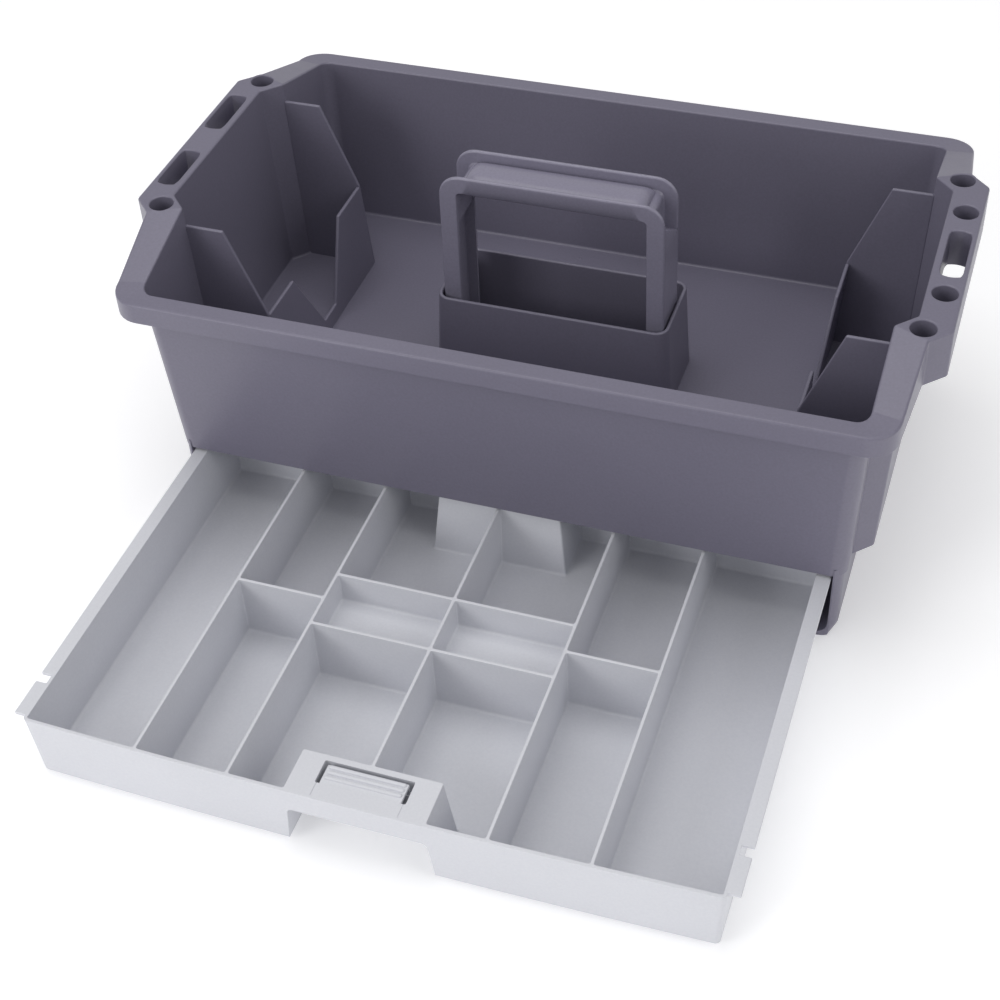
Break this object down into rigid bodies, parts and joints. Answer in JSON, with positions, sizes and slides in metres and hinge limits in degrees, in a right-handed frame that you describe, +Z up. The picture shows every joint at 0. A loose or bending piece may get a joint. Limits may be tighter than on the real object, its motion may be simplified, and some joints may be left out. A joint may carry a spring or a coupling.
{
  "type": "tool storage caddy",
  "caption": "Open tool tub with racks at both ends, a central carrying handle and a divided parts drawer that slides out underneath.",
  "frame": {"origin": "centre of the footprint box, with the drawer pulled out, at the level the caddy stands on", "axes": "+Z up, -Y towards the side the drawer opens to, +X to the right as seen from that side"},
  "size_m": [0.456, 0.479, 0.187],
  "materials": {
    "tub_plastic": "dark grey moulded polypropylene, satin",
    "handle_plastic": "dark grey moulded polypropylene, satin",
    "drawer_plastic": "light grey moulded polypropylene, satin"
  },
  "bodies": {
    "caddy": {"tub_floor": "tub_plastic", "front_wall": "tub_plastic", "back_wall": "tub_plastic", "left_end_wall": "tub_plastic", "right_end_wall": "tub_plastic", "left_end_hood": "tub_plastic", "right_end_hood": "tub_plastic", "left_front_bin_fin": "tub_plastic", "left_back_bin_fin": "tub_plastic", "right_front_bin_fin": "tub_plastic", "right_back_bin_fin": "tub_plastic", "left_bin_wall": "tub_plastic", "right_bin_wall": "tub_plastic", "front_rim": "tub_plastic", "back_rim": "tub_plastic", "left_tool_rack": "tub_plastic", "right_tool_rack": "tub_plastic", "handle_pedestal": "tub_plastic", "carry_handle": "handle_plastic", "handle_grip": "handle_plastic", "left_drawer_runner": "tub_plastic", "right_drawer_runner": "tub_plastic", "housing_back": "tub_plastic"},
    "drawer": {"drawer_tray": "drawer_plastic", "left_side_divider": "drawer_plastic", "left_middle_divider": "drawer_plastic", "centre_divider": "drawer_plastic", "right_middle_divider": "drawer_plastic", "right_side_divider": "drawer_plastic", "left_cross_divider": "drawer_plastic", "right_cross_divider": "drawer_plastic", "left_shallow_tray": "drawer_plastic", "right_shallow_tray": "drawer_plastic", "latch_platform": "drawer_plastic", "back_bay": "drawer_plastic"},
    "latch": {"latch_tongue": "drawer_plastic"}
  },
  "joints": [
    {"name": "drawer_slide", "type": "slide", "parent": "caddy", "child": "drawer", "axis": [0, 1, 0], "range_m": [0, 0.208]},
    {"name": "latch_press", "type": "hinge", "parent": "drawer", "child": "latch", "pos_m": [0, -0.22985, 0.0442], "axis": [-1, 0, 0], "range_deg": [0, 7], "stiffness_Nm_per_rad": 0.5}
  ]
}
